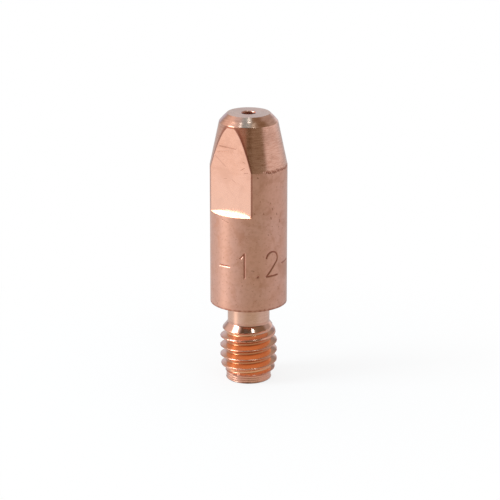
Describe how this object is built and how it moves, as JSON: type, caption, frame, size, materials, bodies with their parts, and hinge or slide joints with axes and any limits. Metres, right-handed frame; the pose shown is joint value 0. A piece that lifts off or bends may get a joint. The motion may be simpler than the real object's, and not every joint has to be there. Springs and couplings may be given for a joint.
{
  "type": "welding contact tip",
  "caption": "Turned copper contact tip for a MIG welding torch: M6 threaded stem, neck, round body with two wrench flats, tapered nose and a wire bore.",
  "frame": {"origin": "centre of the rear end face, on the tip's own axis", "axes": "+Z runs along the axis from the threaded rear end to the nose; the two wrench flats face +Y and -Y"},
  "size_m": [0.0078, 0.0078, 0.028],
  "materials": {
    "copper": "satin"
  },
  "bodies": {
    "root": {"contact_tip": "copper"}
  },
  "joints": []
}
